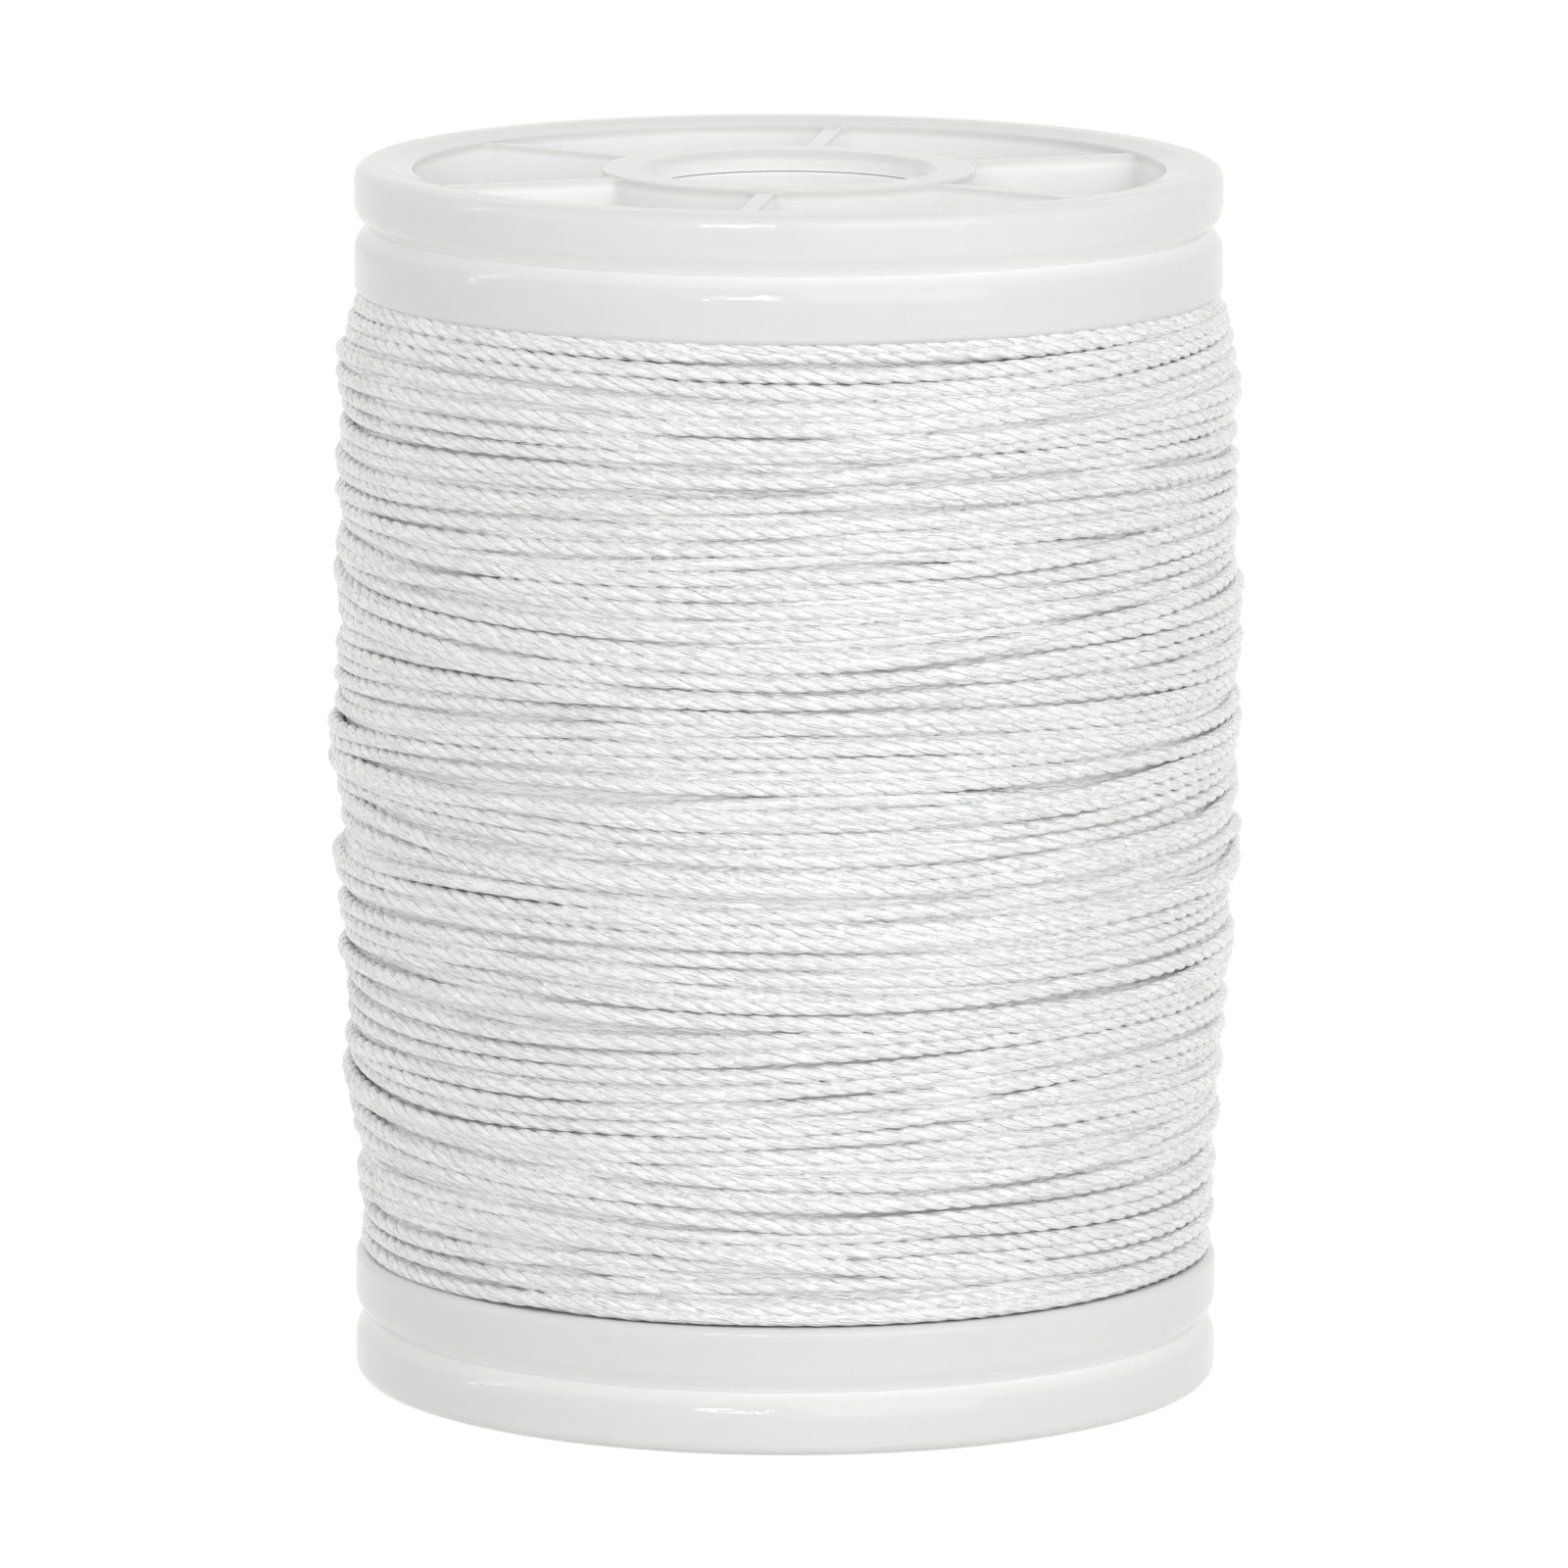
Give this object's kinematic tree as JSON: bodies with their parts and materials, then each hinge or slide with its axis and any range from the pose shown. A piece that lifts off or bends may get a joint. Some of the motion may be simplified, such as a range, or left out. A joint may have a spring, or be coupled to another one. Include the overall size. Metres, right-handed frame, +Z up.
{
  "type": "snap-lock spool of waxed thread",
  "caption": "Thread spool with a bored core, a spoked locking cap that slides at each end to nip the thread's end, and waxed twisted thread wound between its flanges.",
  "frame": {"origin": "centre of the base, on the plane that the spool stands on", "axes": "+Z up the spool's axis, -Y towards the viewer of the front"},
  "size_m": [0.044, 0.044, 0.0594],
  "materials": {
    "core_plastic": "milky translucent moulding, soft gloss",
    "cap_plastic": "milky translucent moulding, soft gloss, slightly warmer than the core",
    "waxed_thread": "white three-ply twisted thread with a light wax sheen"
  },
  "bodies": {
    "core": {"winding_core": "core_plastic", "wound_layers": "waxed_thread", "outer_winding": "waxed_thread"},
    "top_cap": {"top_lock_cap": "cap_plastic"},
    "bottom_cap": {"bottom_lock_cap": "cap_plastic"}
  },
  "joints": [
    {"name": "top_cap_slide", "type": "slide", "parent": "core", "child": "top_cap", "axis": [0, 0, 1], "range_m": [0, 0.0014]},
    {"name": "bottom_cap_slide", "type": "slide", "parent": "core", "child": "bottom_cap", "axis": [0, 0, -1], "range_m": [0, 0.0014]}
  ]
}
